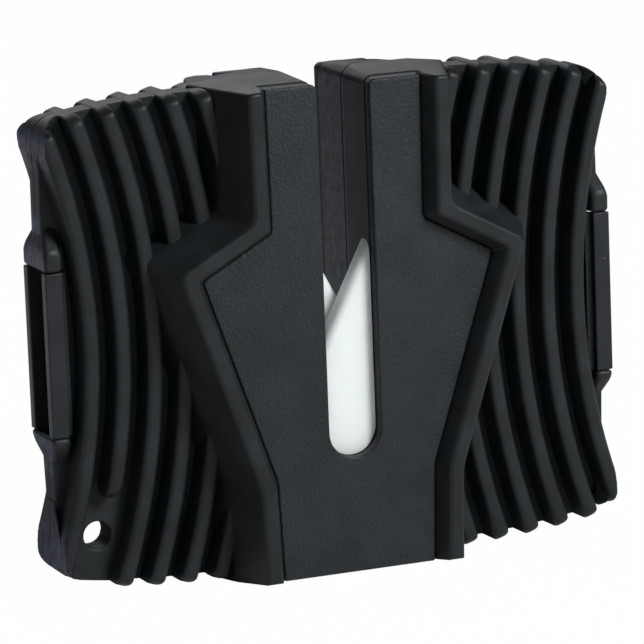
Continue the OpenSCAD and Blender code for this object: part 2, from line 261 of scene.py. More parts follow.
@dataclass(frozen=True)
class MouldedPlastic:
    """A black moulding with a fine grain, faint clouding, a painted bluish sheen of light on the slot walls
    and the outer sides, painted shade on the front part of the slot walls, and a little dust.
    """

    name: str
    dark: Colour = (0.0105, 0.0125, 0.0138)
    light: Colour = (0.0175, 0.0205, 0.0225)
    # Colour of the painted bluish sheen of light on faces that look sideways
    painted_sheen: Colour = (0.073, 0.082, 0.138)
    shade: Colour = (0.003, 0.0033, 0.006)
    sparkle: Colour = (0.05, 0.056, 0.06)
    speck: Colour = (0.42, 0.42, 0.40)
    rough: float = 0.46
    slot_half_mm: float = 3.25
    side_mm: float = 34.3
    part_mm: float = 0.6
    sheen_end_mm: float = 5.6
    mid_mm: float = 29.4
    boss_mm: float = 14.4
    lip_mm: float = 19.0
    fade_mm: float = 1.2
    grain_mm: float = 0.24
    grain_depth_mm: float = 0.02
    dust: float = 0.06

    def build(self) -> Material:
        """Returns the material."""
        g = Graph(bpy.data.materials.new(self.name))
        cloud = g.noise(5.0, 3.0, 0.6)
        fine = g.noise(self.grain_mm, 2.0, 0.55)
        mottle = g.noise(1.1, 4.0, 0.65)
        wall, side, near = self._zones(g)
        # Painted sheen: the bluish light that faces looking sideways catch, mottled by noise and weaker on
        # the slot walls before the parting line
        edge = (wall * (1 - near * 0.85) + side) * mottle.ramp(0.28, 0.66)
        base = g.blend(cloud.ramp(0.3, 0.7), self.dark, self.light)
        base = g.blend(edge * 0.9, base, self.painted_sheen)
        # Painted shade on the slot walls in front of the parting line
        base = g.blend(wall * near * 0.85, base, self.shade)
        base = g.blend(fine.ramp(0.6, 0.74) * cloud.ramp(0.35, 0.7) * 0.4, base, self.sparkle)
        base = g.blend(g.specks(1.5, 0.035, self.dust, "Red"), base, self.speck)
        g.link(base, "Base Color")
        g.link(self.rough + (cloud - 0.5) * 0.16 + (mottle - 0.5) * 0.12 - edge * 0.08, "Roughness")
        g.link(g.bump(fine, self.grain_depth_mm, 0.7, g.bump(mottle, 0.02, 0.35)), "Normal")
        g.fix(Specular_IOR_Level=0.24)
        return g.owner

    def _zones(self, g: Graph) -> tuple[Value, Value, Value]:
        """Args:
            g: The finish's graph.

        Returns:
            Masks of the slot's walls and of the outer sides, where a sheen of light is painted, and of what
            lies before the parting line, where the slot walls get painted shade.
        """
        x, y, z = (g.axis(g.place(), name) for name in "XYZ")
        off, rise = abs(x), abs(z - self.mid_mm * MM)
        wall = (off < self.slot_half_mm * MM) * (y > -self.sheen_end_mm * MM)
        above = rise.ramp(self.boss_mm * MM, (self.boss_mm + self.fade_mm) * MM)
        dim_band = above * (1 - rise.ramp(self.lip_mm * MM, (self.lip_mm + 4 * self.fade_mm) * MM))
        side = (off > self.side_mm * MM) * (1 - dim_band * 0.8)
        turned = g.sideways()
        return wall * turned, side * turned, y < -self.part_mm * MM


@dataclass(frozen=True)
class LeatherGrain:
    """The panels' charcoal moulding with its pebbled, leather-like face, and painted shade on its faces that
    look sideways.
    """

    name: str
    dark: Colour = (0.0135, 0.0162, 0.018)
    light: Colour = (0.0205, 0.0245, 0.027)
    shade: Colour = (0.003, 0.0035, 0.004)
    sparkle: Colour = (0.058, 0.066, 0.07)
    speck: Colour = (0.38, 0.38, 0.37)
    pebble_mm: float = 0.36

    def build(self) -> Material:
        """Returns the material."""
        g = Graph(bpy.data.materials.new(self.name))
        cloud = g.noise(6.0, 3.0, 0.55)
        warp = g.noise(1.4, 3.0, 0.6)
        pebble = g.cells(self.pebble_mm, "Distance", 0.55)
        fine = g.noise(0.19, 2.0, 0.55)
        crease = pebble.ramp(0.15, 0.75) * 0.7 + warp * 0.5
        base = g.blend(cloud.ramp(0.3, 0.7) * 0.7 + crease * 0.2, self.dark, self.light)
        # Painted shade on the faces that look sideways
        base = g.blend(g.sideways() * 0.7, base, self.shade)
        base = g.blend(fine.ramp(0.6, 0.72) * cloud.ramp(0.3, 0.65) * 0.5, base, self.sparkle)
        g.link(g.blend(g.specks(2.2, 0.026, 0.14, "Green"), base, self.speck), "Base Color")
        g.link(0.47 + (warp - 0.5) * 0.14 + (cloud - 0.5) * 0.12, "Roughness")
        g.link(g.bump(fine, 0.012, 0.6, g.bump(crease, 0.075, 0.75)), "Normal")
        g.fix(Specular_IOR_Level=0.26)
        return g.owner


@dataclass(frozen=True)
class FiredCeramic:
    """The honing blocks' fine matt white ceramic, with a few small grey marks."""

    name: str
    dark: Colour = (0.87, 0.925, 0.92)
    light: Colour = (0.92, 0.96, 0.945)
    mark: Colour = (0.42, 0.44, 0.42)
    depth_mm: float = 2.8

    def build(self) -> Material:
        """Returns the material."""
        g = Graph(bpy.data.materials.new(self.name))
        cloud = g.noise(2.6, 3.0, 0.55)
        fine = g.noise(0.09, 2.0, 0.5)
        base = g.blend(cloud.ramp(0.25, 0.75), self.dark, self.light)
        g.link(g.blend(g.specks(1.7, 0.05, 0.1, "Blue") * 0.55, base, self.mark), "Base Color")
        g.link(0.42 + (cloud - 0.5) * 0.15, "Roughness")
        g.link(g.bump(fine, 0.006, 0.6), "Normal")
        g.fix(Specular_IOR_Level=0.45)
        g.fix(Subsurface_Weight=0.7, Subsurface_Radius=(1.0, 1.0, 1.0), Subsurface_Scale=self.depth_mm * MM)
        return g.owner


@dataclass(frozen=True)
class PlatedSteel:
    """The screws' plain plated steel."""

    name: str
    dark: Colour = (0.42, 0.43, 0.44)
    light: Colour = (0.58, 0.58, 0.59)

    def build(self) -> Material:
        """Returns the material."""
        g = Graph(bpy.data.materials.new(self.name))
        turned = g.noise(0.3, 3.0, 0.6)
        g.link(g.blend(turned, self.dark, self.light), "Base Color")
        g.link(0.3 + turned * 0.15, "Roughness")
        g.fix(Metallic=1.0)
        return g.owner


# Mesh helpers


def outwards(bm: BMesh) -> None:
    """Turns a closed form's faces outwards."""
    bmesh.ops.recalc_face_normals(bm, faces=bm.faces)


def spread(start: float, end: float, count: int) -> list[float]:
    """Returns a count of even steps from a start to an end."""
    return [start + (end - start) * i / (count - 1) for i in range(count)]


def picked(items: Iterable, kind: type) -> list:
    """Returns the items of one kind."""
    return [item for item in items if isinstance(item, kind)]


def arc(centre: Point, radius: float, start: float, end: float, count: int) -> list[Point]:
    """Returns points along an arc between two angles in degrees."""
    turned = [math.radians(v) for v in spread(start, end, count)]
    return [(centre[0] + radius * math.cos(a), centre[1] + radius * math.sin(a)) for a in turned]


def stack(bm: BMesh, levels: list[tuple[float, list[Point]]]) -> None:
    """Extrudes an outline outwards from the parting line through several levels, in millimetres.

    Args:
        bm: The mesh that takes the form.
        levels: Distance from the parting line and outline of each level, as (x, z) points in one order.
    """
    out, points = levels[0]
    face = bm.faces.new([bm.verts.new((x, -out, z)) for x, z in points])
    order = {v: i for i, v in enumerate(face.verts)}
    for out, points in levels[1:]:
        places = {tuple(v.co): i for v, i in order.items()}
        made = bmesh.ops.extrude_face_region(bm, geom=[face])
        if any(len(e.link_faces) > 2 for e in face.edges):
            bmesh.ops.delete(bm, geom=[face], context="FACES_ONLY")
        face = picked(made["geom"], BMFace)[0]
        order = {v: places[tuple(v.co)] for v in picked(made["geom"], BMVert)}
        for v, i in order.items():
            x, z = points[i]
            v.co = (x, -out, z)
    outwards(bm)


def prism(bm: BMesh, points: list[Point], low: float, high: float) -> None:
    """Extrudes an outline straight outwards between two distances from the parting line."""
    stack(bm, [(low, points), (high, points)])


def soften(bm: BMesh, edges: Iterable[BMEdge], width: float, steps: int, held: bool = True) -> None:
    """Rounds edges.

    Args:
        bm: The mesh.
        edges: The edges to round.
        width: Width of the rounding.
        steps: Number of facets across it.
        held: Whether short edges nearby hold the width back.
    """
    bmesh.ops.bevel(bm, geom=list(edges), offset=width, offset_type="OFFSET", affect="EDGES",
                    segments=steps, profile=0.5, material=-1, clamp_overlap=held)
    if not held:
        bmesh.ops.remove_doubles(bm, verts=bm.verts, dist=0.4 * HAIR)


def sharp(bm: BMesh, degrees: float = 24.0) -> list[BMEdge]:
    """Returns the edges whose faces meet at more than an angle."""
    limit = math.radians(degrees)
    return [e for e in bm.edges if len(e.link_faces) == 2 and e.calc_face_angle() > limit]


def holed(bm: BMesh, outline: list[Point], hole: list[Point], low: float, high: float) -> None:
    """Extrudes an outline that has a hole.

    Args:
        bm: The mesh that takes the form.
        outline: The outer outline.
        hole: The hole's outline.
        low: Distance of the low end from the parting line.
        high: Distance of the high end.
    """
    edges = []
    for loop in (outline, hole):
        verts = [bm.verts.new((x, -low, z)) for x, z in loop]
        edges += [bm.edges.new((verts[i], verts[(i + 1) % len(verts)])) for i in range(len(verts))]
    filled = bmesh.ops.triangle_fill(bm, use_beauty=True, use_dissolve=True, edges=edges)
    made = bmesh.ops.extrude_face_region(bm, geom=picked(filled["geom"], BMFace))
    bmesh.ops.translate(bm, verts=picked(made["geom"], BMVert), vec=(0, low - high, 0))
    outwards(bm)


def box(size: tuple[float, float, float], middle: Place) -> BMesh:
    """Args:
        size: The box's extents.
        middle: Its middle.

    Returns:
        The box.
    """
    bm = bmesh.new()
    bmesh.ops.create_cube(bm, size=1.0)
    bmesh.ops.scale(bm, verts=bm.verts, vec=size)
    bmesh.ops.translate(bm, verts=bm.verts, vec=middle)
    return bm


def beyond(edge: BMEdge, out: float) -> bool:
    """Returns whether all of an edge lies further than a distance in front of the parting line."""
    return all(v.co.y < -out for v in edge.verts)


def at_parting(edge: BMEdge) -> bool:
    """Returns whether an edge lies on the parting line."""
    return all(v.co.y > -HAIR for v in edge.verts)


def to_mesh(name: str, bm: BMesh) -> Mesh:
    """Args:
        name: The mesh's name.
        bm: What was drawn, which is used up.

    Returns:
        The mesh.
    """
    mesh = bpy.data.meshes.new(name)
    bm.to_mesh(mesh)
    bm.free()
    return mesh


def placed(name: str, data: ID) -> Object:
    """Args:
        name: The object's name.
        data: A mesh, a lamp or a camera.

    Returns:
        The object, linked to the scene.
    """
    made = bpy.data.objects.new(name, data)
    bpy.context.scene.collection.objects.link(made)
    return made


def dressed(node: str, part: str, bm: BMesh, finish: Material, side: Side = Side.FRONT) -> Object:
    """Turns a mesh in millimetres into a finished piece that stands for a CAD node.

    Args:
        node: The node that it replaces.
        part: The last word of the piece's name.
        bm: The mesh, drawn for the front.
        finish: Its material.
        side: The half it belongs to; a rear piece is mirrored.

    Returns:
        The linked object, in metres and at the origin.
    """
    bmesh.ops.scale(bm, verts=bm.verts, vec=(MM, MM * -side.value, MM))
    if side is Side.REAR:
        bmesh.ops.reverse_faces(bm, faces=bm.faces)
    for face in bm.faces:
        face.smooth = True
    for edge in bm.edges:
        edge.smooth = len(edge.link_faces) == 2 and edge.calc_face_angle() < math.radians(SMOOTH_UNDER)
    piece = placed(f"{node}_{part}", to_mesh(f"{node}_{part}", bm))
    piece.modifiers.new("even_normals", "WEIGHTED_NORMAL").keep_sharp = True
    piece.data.materials.append(finish)
    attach(piece, "root")
    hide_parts(node)
    return piece


def carve(body: BMesh, tools: list[BMesh]) -> BMesh:
    """Cuts closed forms out of a closed body.

    Args:
        body: The body, which is used up.
        tools: The forms to take out, which are used up.

    Returns:
        The carved body with its flat faces merged.
    """
    work = placed("carve_body", to_mesh("carve_body", body))
    used = [placed("carve_tool", to_mesh("carve_tool", bm)) for bm in tools]
    for tool in used:
        step = work.modifiers.new("carve", "BOOLEAN")
        step.operation = "DIFFERENCE"
        step.solver = "EXACT"
        step.object = tool
    graph = bpy.context.evaluated_depsgraph_get()
    mesh = bpy.data.meshes.new_from_object(work.evaluated_get(graph))
    out = bmesh.new()
    out.from_mesh(mesh)
    bpy.data.meshes.remove(mesh)
    for item in (work, *used):
        data = item.data
        bpy.data.objects.remove(item)
        bpy.data.meshes.remove(data)
    bmesh.ops.remove_doubles(out, verts=out.verts, dist=HAIR)
    bmesh.ops.dissolve_limit(out, angle_limit=math.radians(0.6), verts=out.verts, edges=out.edges,
                             use_dissolve_boundaries=False)
    outwards(out)
    return out


def turns(bm: BMesh, outlines: list[list[Point]]) -> list[BMEdge]:
    """Args:
        bm: A mesh stacked from outlines.
        outlines: Halves of the outlines, as given by ShieldShape.moved.

    Returns:
        The edges that rise from one outline's neck, wing or waist corner to the next one's.
    """
    spots = [(side * x, z) for path in outlines for x, z in path[1:4] for side in (-1, 1)]

    def at_turn(v: BMVert) -> bool:
        """Returns whether a vertex is one of those corners."""
        return any(abs(v.co.x - x) < HAIR and abs(v.co.z - z) < HAIR for x, z in spots)

    rising = [e for e in bm.edges if abs(e.verts[0].co.y - e.verts[1].co.y) > RAISED]
    return [e for e in rising if all(map(at_turn, e.verts))]


def join(into: BMesh, part: BMesh) -> None:
    """Adds one mesh to another.

    Args:
        into: The mesh that grows.
        part: The mesh that is added, which is used up.
    """
    mesh = to_mesh("join", part)
    into.from_mesh(mesh)
    bpy.data.meshes.remove(mesh)


# Shapes, in millimetres


@dataclass
class ShieldShape:
    """Outline of the shield: horns beside the slot, wings and a stem."""

    body_h: float = 58.2
    half_t: float = 10.5
    top_drop: float = 0.75
    foot_lift: float = 0.5
    half_land: float = 5.0
    wall_spread: float = 3.8
    rim_w: float = 1.65
    rim_slope_w: float = 0.95
    recess_d: float = 2.15
    panel_t: float = 1.5
    slot_half: float = 3.15
    slot_z: float = 16.9
    mouth_r: float = 1.2
    rim: tuple[Point, ...] = ((12.3, 57.45), (12.1, 42.5), (21.3, 37.5), (12.55, 11.4), (12.2, 0.5))

    def moved(self, d: float, top: float, bottom: float) -> list[Point]:
        """Right half of the outline after it has moved out.

        Args:
            d: The distance, negative inwards.
            top: Height of its upper end.
            bottom: Height of its lower end.

        Returns:
            Points from the top to the bottom.
        """
        p = [Vector(q) for q in self.rim]
        lines = [(b - a).normalized() for a, b in zip(p, p[1:])]
        out = [Vector((-t.y, t.x)) for t in lines]

        def at(i: int, z: float) -> Vector:
            """Returns the point at height z on moved line i."""
            q = p[i] + out[i] * d
            return q + lines[i] * ((z - q.y) / lines[i].y)

        path = [at(0, top)]
        for i in (1, 2, 3):
            path.append(p[i] + (out[i - 1] + out[i]) * (d / (1 + out[i - 1].dot(out[i]))))
        path.append(at(3, bottom))
        return [(v.x, v.y) for v in path]

    def slot(self, top: float, gap: float) -> list[Point]:
        """The knife slot from its right mouth round the bottom to its left mouth.

        Args:
            top: Height of the surface that the mouth opens in.
            gap: How much wider the slot is cut.

        Returns:
            Points in order.
        """
        w = self.slot_half + gap
        mouth_z = self.body_h - self.mouth_r
        right = [(w + top - mouth_z, top), (w, mouth_z)]
        bottom = arc((0.0, self.slot_z), w, 0.0, -180.0, 25)
        return right + bottom + [(-x, z) for x, z in reversed(right)]

    def around(self, path: list[Point], slot: list[Point]) -> list[Point]:
        """Returns the closed outline of both halves, with the slot in it if there is one."""
        return slot + [(-x, z) for x, z in path] + path[::-1]


@dataclass
class GripShape:
    """Outline of a grip and the run of its ribs."""

    half_w: float = 34.8
    mid_z: float = 29.4
    plate_half: float = 1.6
    crest: float = 5.0
    rib_w: float = 1.9
    rib_round: float = 0.65
    first_r: float = 74.4
    pitch: float = 3.8
    count: int = 6
    centre_x: float = 104.8
    crown_r: float = 87.0
    base_r: float = 100.0
    crown_x: float = 16.0
    top_z: float = 57.3
    bottom_z: float = 0.3
    corner_r: float = 3.0
    rib_over: float = 0.4
    crown_over: float = 0.2
    inner_x: float = 8.0
    first_low: float = -26.3
    first_high: float = 25.1
    end_run: float = 1.2
    end_drop: float = 2.6
    flank_low: float = 0.12
    flank_high: float = 0.08
    rings: int = 84
    fine_rings: int = 10
    fine_run: float = 1.9
    first_rise: float = 27.0

    def bow(self, sense: End) -> tuple[float, float]:
        """Returns the radius and the height of the top or the bottom edge's long arc."""
        return (self.crown_r, self.top_z) if sense is End.TOP else (self.base_r, self.bottom_z)

    def corner(self, sense: End) -> Vector:
        """Args:
            sense: The grip's end.

        Returns:
            The centre of that corner's rounding.
        """
        r, edge = self.bow(sense)
        x = self.half_w - self.corner_r
        drop = r - math.sqrt((r - self.corner_r) ** 2 - (x - self.crown_x) ** 2)
        return Vector((x, edge - sense * drop))

    def turn(self, sense: End) -> tuple[Vector, Vector]:
        """Args:
            sense: The grip's end.

        Returns:
            The middle of the edge's long arc, and the direction in which it meets the corner's rounding.
        """
        r, edge = self.bow(sense)
        mid = Vector((self.crown_x, edge - sense * r))
        return mid, (self.corner(sense) - mid).normalized()

    def edge_z(self, x: float, sense: End, inset: float) -> float:
        """Height of the grip's top or bottom edge.

        Args:
            x: Distance from the middle of the body.
            sense: The grip's end.
            inset: How far the edge is drawn in.

        Returns:
            The height at x.
        """
        r, _edge = self.bow(sense)
        c = self.corner(sense)
        mid, turn = self.turn(sense)
        if x > c.x + turn.x * (self.corner_r - inset):
            reach = max(0.0, (self.corner_r - inset) ** 2 - (x - c.x) ** 2)
            return c.y + sense * math.sqrt(reach)
        return mid.y + sense * math.sqrt((r - inset) ** 2 - (x - mid.x) ** 2)

    def side_x(self, z: float) -> float:
        """Args:
            z: The height.

        Returns:
            How far the grip reaches sideways there.
        """
        for sense in End:
            c = self.corner(sense)
            past = sense * (z - c.y)
            if past > 0:
                return c.x + math.sqrt(max(0.0, self.corner_r ** 2 - past ** 2))
        return self.half_w

    def outline(self, seat_x: float, low: float, high: float) -> list[Point]:
        """Outline of the right grip's plate, from the inner bottom corner round to the inner top one.

        Args:
            seat_x: How deep the insert's seat reaches in from the side.
            low: Height of the seat's lower end.
            high: Height of its upper end.

        Returns:
            Points in order, counter-clockwise.
        """
        edges = []
        side = self.half_w
        for sense in End:
            inset = self.crown_over if sense is End.TOP else self.rib_over
            r = self.corner_r - inset
            c = self.corner(sense)
            _mid, turn = self.turn(sense)
            crown = [(x, self.edge_z(x, sense, inset)) for x in spread(self.inner_x, c.x + turn.x * r, 19)]
            bend = arc((c.x, c.y), r, math.degrees(math.atan2(turn.y, turn.x)), 0.0, 9)
            edges.append(crown[:-1] + [(min(x, side), z) for x, z in bend])
        return edges[0] + [(side, low), (seat_x, low), (seat_x, high), (side, high)] + edges[1][::-1]

    def rib_point(self, r: float, hand: Hand, rise: float) -> Point:
        """Returns a point of a rib's run at a height over the middle of the ribs."""
        return hand * (self.centre_x - math.sqrt(r * r - rise * rise)), self.mid_z + rise

    def reach(self, r: float, sense: End, inset: float = 0.0) -> float:
        """Args:
            r: Radius of the rib's middle.
            sense: The grip's end.
            inset: How far that edge is drawn in.

        Returns:
            The rise at which the rib meets the edge.
        """
        rise = self.first_rise * sense
        for _ in range(6):
            x, _z = self.rib_point(r, Hand.RIGHT, rise)
            rise = self.edge_z(x, sense, inset) - self.mid_z
        return rise


@dataclass
class RailShape:
    """Section of the side rails, and the heights between which their inserts lie."""

    half: float = 35.2
    depth: float = 2.05
    high: float = 3.83
    low_z: float = 19.2
    high_z: float = 38.2


# Sub-assemblies


@dataclass(frozen=True)
class Fall:
    """Where the shield's top starts to slope down towards its outer ends, and how steeply."""

    start: float
    slope: float


@dataclass(frozen=True)
class RibEnd:
    """The share of a rib's width that is left at its end, and how drawn out its rounding is."""

    blunt: float
    run: float


@dataclass
class Shells:
    """The two moulded shells: shield, ribbed grips, corner lips, lanyard pad and rail bosses."""

    shield: ShieldShape
    grip: GripShape
    rail: RailShape
    finish: Material
    rail_len: float = 28.4
    rail_slope: float = 3.0
    rail_end_h: float = 1.2
    rail_end_in: float = 0.8
    seat_x: float = 32.35
    seat_gap: float = 0.05
    hole: Point = (-29.8, 6.9)
    hole_r: float = 1.65
    pad_half: float = 1.9
    pad_top: float = 11.4
    pad_clear: float = 0.5
    lip_h: float = 3.5
    lip_w: float = 1.6
    low_lip_start: float = 18.0
    high_lip_start: float = 20.4
    lip_rise: float = 4.0
    lip_tuck: float = 0.3
    lip_out: float = 0.02
    lip_turn: float = 0.66
    lip_flat: float = 0.7
    lip_fall: float = 2.2
    lip_lean: float = 1.1
    lip_end: float = 1.2
    lip_set: float = 0.1
    lip_sink: float = 0.2
    low_end: RibEnd = RibEnd(0.3, 1.0)
    high_end: RibEnd = RibEnd(0.4, 1.0)
    pad_end: RibEnd = RibEnd(0.12, 2.0)
    boss_root: float = 0.9
    skim: float = 0.005
    rim_deep: float = 0.6
    top_deep: float = 1.8
    rim_soft: float = 0.42
    turn_soft: float = 1.0
    part_soft: float = 0.15
    plate_soft: float = 0.14
    hole_soft: float = 0.3
    pad_soft: float = 0.2
    lip_soft: float = 0.25
    boss_soft: float = 0.55
    front_fall: Fall = Fall(11.45, 0.13)
    rear_fall: Fall = Fall(5.6, 0.1)

    def build(self) -> Iterator[Object]:
        """Makes both shells."""
        for side in Side:
            bm = bmesh.new()
            join(bm, self.shield_form(self.front_fall if side is Side.FRONT else self.rear_fall))
            for hand in Hand:
                lips = (self.lip(hand, sense) for sense in End)
                for part in (self.plate(hand), *self.ribs(hand), *lips, *self.bosses(hand)):
                    join(bm, part)
            join(bm, self.pad())
            yield dressed(f"{side.name.lower()}_shell", "moulding", bm, self.finish, side)

    def trim(self, bm: BMesh, start: float, slope: float) -> None:
        """Cuts the shield's top along a plane and closes the cut.

        Args:
            bm: The shield.
            start: Where the plane starts to fall sideways.
            slope: How steeply it falls, with the sign of the side.
        """
        s = self.shield
        cut = bmesh.ops.bisect_plane(bm, geom=[*bm.verts, *bm.edges, *bm.faces], dist=0.0001,
                                     plane_co=(start, 0.0, s.body_h - self.skim),
                                     plane_no=(slope, -s.top_drop / s.half_t, 1.0), clear_outer=True)
        bmesh.ops.edgeloop_fill(bm, edges=picked(cut["geom_cut"], BMEdge))

    def shield_form(self, fall: Fall) -> BMesh:
        """Builds the raised middle with its recess, its panel seat and the slot.

        Args:
            fall: How the outer ends of its top slope down.

        Returns:
            The form.
        """
        s = self.shield
        bm = bmesh.new()
        low_foot = s.foot_lift * -s.half_land / (s.half_t - s.half_land)
        outer = [s.moved(s.wall_spread, s.body_h, low_foot), s.moved(0.0, s.body_h, s.foot_lift)]
        low, high = (s.around(path, s.slot(s.body_h, 0.0)) for path in outer)
        stack(bm, [(0.0, low), (s.half_t, high)])
        soften(bm, turns(bm, outer), self.turn_soft, 4)
        self.trim(bm, 0.0, 0.0)
        for hand in Hand:
            self.trim(bm, hand * fall.start, hand * fall.slope)
        face = s.half_t - s.recess_d
        over = 1.0
        recess = bmesh.new()
        near = s.moved(-s.rim_w - s.rim_slope_w, s.body_h + over, -over)
        far = s.moved(-s.rim_w + s.rim_slope_w * over / s.recess_d, s.body_h + over, -over)
        inner = [near, far]
        near, far = (s.around(path, []) for path in inner)
        stack(recess, [(face - s.panel_t, near), (face, near), (s.half_t + over, far)])
        soften(recess, turns(recess, inner), self.turn_soft / 2, 3)
        below_land = box((60.0, 30.0, 4.0), (0.0, 0.0, -2.0))
        out = carve(bm, [recess, below_land])
        rims = [e for e in sharp(out) if beyond(e, s.half_t - self.rim_deep)
                or all(v.co.z > s.body_h - self.top_deep for v in e.verts)]
        soften(out, [e for e in rims if not at_parting(e)], self.rim_soft, 3, False)
        soften(out, [e for e in sharp(out) if at_parting(e)], self.part_soft, 1, False)
        return out

    def plate(self, hand: Hand) -> BMesh:
        """Args:
            hand: The grip.

        Returns:
            The plate under the ribs, on the left with the lanyard hole.
        """
        g = self.grip
        bm = bmesh.new()
        points = g.outline(self.seat_x, self.rail.low_z - self.seat_gap, self.rail.high_z + self.seat_gap)
        if hand is Hand.LEFT:
            holed(bm, [(-x, z) for x, z in points[::-1]], self.mouth(), 0.0, g.plate_half)
        else:
            prism(bm, points, 0.0, g.plate_half)
        soften(bm, [e for e in sharp(bm, 50.0) if not self.at_hole(e)], self.plate_soft, 2)
        return bm

    def mouth(self) -> list[Point]:
        """Returns the outline of the lanyard hole."""
        count = 48
        return arc(self.hole, self.hole_r, 0.0, 360.0 - 360.0 / count, count)

    def near_hole(self, v: BMVert, clear: float) -> bool:
        """Returns whether a vertex is within a distance of the lanyard hole."""
        x, z = self.hole
        return math.hypot(v.co.x - x, v.co.z - z) < self.hole_r + clear

    def at_hole(self, edge: BMEdge) -> bool:
        """Returns whether an edge belongs to the lanyard hole."""
        return all(self.near_hole(v, 5 * HAIR) for v in edge.verts)

    def pad(self) -> BMesh:
        """Returns the flat pad round the lanyard hole."""
        g = self.grip
        sides = []
        for r in (g.first_r, g.first_r + 2 * g.pitch):
            rises = spread(g.reach(r, End.BOTTOM, self.lip_tuck), self.pad_top - g.mid_z, 11)
            sides.append([g.rib_point(r, Hand.LEFT, rise) for rise in rises])
        between = spread(sides[0][0][0], sides[1][0][0], 9)[1:-1]
        bottom = [(x, g.edge_z(-x, End.BOTTOM, self.lip_tuck)) for x in between]
        bm = bmesh.new()
        holed(bm, sides[0][::-1] + bottom + sides[1], self.mouth(), 0.0, self.pad_half)

        def at_top(v: BMVert) -> bool:
            """Returns whether a vertex belongs to the pad's upper edge."""
            return v.co.z > self.pad_top - HAIR

        for v in bm.verts:
            if v.co.y < -RAISED and at_top(v):
                v.co.y = -g.plate_half - 2 * HAIR
        soften(bm, [e for e in sharp(bm, 50.0) if self.at_hole(e) and beyond(e, RAISED)], self.hole_soft, 3)
        rest = [e for e in sharp(bm, 50.0) if beyond(e, RAISED)
                and not any(at_top(v) or self.near_hole(v, self.pad_clear) for v in e.verts)]
        soften(bm, rest, self.pad_soft, 2)
        return bm

    def ribs(self, hand: Hand) -> Iterator[BMesh]:
        """Makes the curved ribs of one grip, from the middle outwards.

        Args:
            hand: The grip.
        """
        g = self.grip
        for i in range(g.count):
            r = g.first_r + i * g.pitch
            low, high = g.reach(r, End.BOTTOM), g.reach(r, End.TOP)
            low_end = self.low_end
            if i == 0:
                low, high = g.first_low, g.first_high
            if i == 1 and hand is Hand.LEFT:
                low = self.pad_top - g.mid_z
                low_end = self.pad_end
            yield self.rib(r, hand, (low, high), (low_end, self.high_end))

    def rib(self, r: float, hand: Hand, heights: tuple[float, float], ends: tuple[RibEnd, RibEnd]) -> BMesh:
        """Spins one rib in rings, which are closer together near its ends, and rounds the ends.

        Args:
            r: Radius of the rib's middle.
            hand: The grip.
            heights: Its lower and its upper end, over the middle of the ribs.
            ends: How these two ends are rounded.

        Returns:
            The rib.
        """
        g = self.grip
        bm = bmesh.new()
        half, soft = g.rib_w / 2, g.rib_round
        section = [(-half - g.flank_low, 0.0), (-half - g.flank_high, g.plate_half)]
        section += arc((soft - half, g.crest - soft), soft, 180.0, 90.0, 6)
        section += [(-x, y) for x, y in reversed(section)]
        first, last = (math.asin(height / r) for height in heights)
        verts = []
        for dr, out in section:
            x = hand * (g.centre_x - (r + dr) * math.cos(first))
            verts.append(bm.verts.new((x, -out, g.mid_z + (r + dr) * math.sin(first))))
        base = bm.faces.new(verts)
        bmesh.ops.spin(bm, geom=[base], cent=(hand * g.centre_x, 0.0, g.mid_z), axis=(0.0, 1.0, 0.0),
                       dvec=(0.0, 0.0, 0.0), angle=hand * (last - first), steps=g.rings, use_duplicate=False)
        length = (last - first) * r
        for v in bm.verts:
            dx, dz = g.centre_x - hand * v.co.x, v.co.z - g.mid_z
            radius, turn = math.hypot(dx, dz), math.atan2(dz, dx)
            ring = (turn - first) / (last - first) * g.rings
            back = min(ring, g.rings - ring)
            if back <= g.fine_rings:
                run = g.fine_run * (1 - math.cos(math.pi / 2 * back / g.fine_rings))
            else:
                share = (back - g.fine_rings) / (g.rings - 2 * g.fine_rings)
                run = g.fine_run + share * (length - 2 * g.fine_run)
            at_low = ring <= g.rings / 2
            end = ends[0] if at_low else ends[1]
            turn = first + (run if at_low else length - run) / r
            drawn = run / end.run
            drop = g.end_drop * (1 - math.sqrt(1 - (1 - min(drawn, g.end_run) / g.end_run) ** 2))
            narrow = half - math.sqrt(half ** 2 - (half - min(drawn, half)) ** 2)
            width = 1 - (1 - end.blunt) * narrow / half
            radius = r + (radius - r) * width
            v.co.z = g.mid_z + radius * math.sin(turn)
            v.co.x = hand * min(g.centre_x - radius * math.cos(turn), g.side_x(v.co.z) - HAIR)
            v.co.y *= (g.crest - drop) / g.crest
        outwards(bm)
        return bm

    def lip(self, hand: Hand, sense: End) -> BMesh:
        """Args:
            hand: The grip.
            sense: The grip's end.

        Returns:
            The raised lip round that corner.
        """
        g = self.grip
        bm = bmesh.new()
        start = g.mid_z + sense * (self.high_lip_start if sense is End.TOP else self.low_lip_start)

        def run(inset: float) -> list[Point]:
            """Args:
                inset: How far it lies inside the corner.

            Returns:
                The corner's outline, from the side to the crown.
            """
            c = g.corner(sense)
            radius = g.corner_r - inset + self.lip_out
            _mid, turn = g.turn(sense)
            last = math.degrees(math.atan2(turn.y, turn.x))
            side = [(g.half_w - inset + self.lip_out, z) for z in spread(start, c.y, 7)[1:-1]]
            side = [(g.half_w - inset - self.lip_set, start)] + side
            if sense is End.TOP:
                top_x = c.x - self.lip_end
                top = (top_x, g.edge_z(top_x, sense, inset + self.lip_tuck))
                return side + arc((c.x, c.y), radius, 0.0, last, 10) + [top]
            for share in spread(0.0, 1.0, 9):
                tapered = radius - (g.rib_over + 2 * self.lip_out) * share ** 2
                angle = math.radians(last * self.lip_turn * share)
                side.append((c.x + tapered * math.cos(angle), c.y + tapered * math.sin(angle)))
            return side

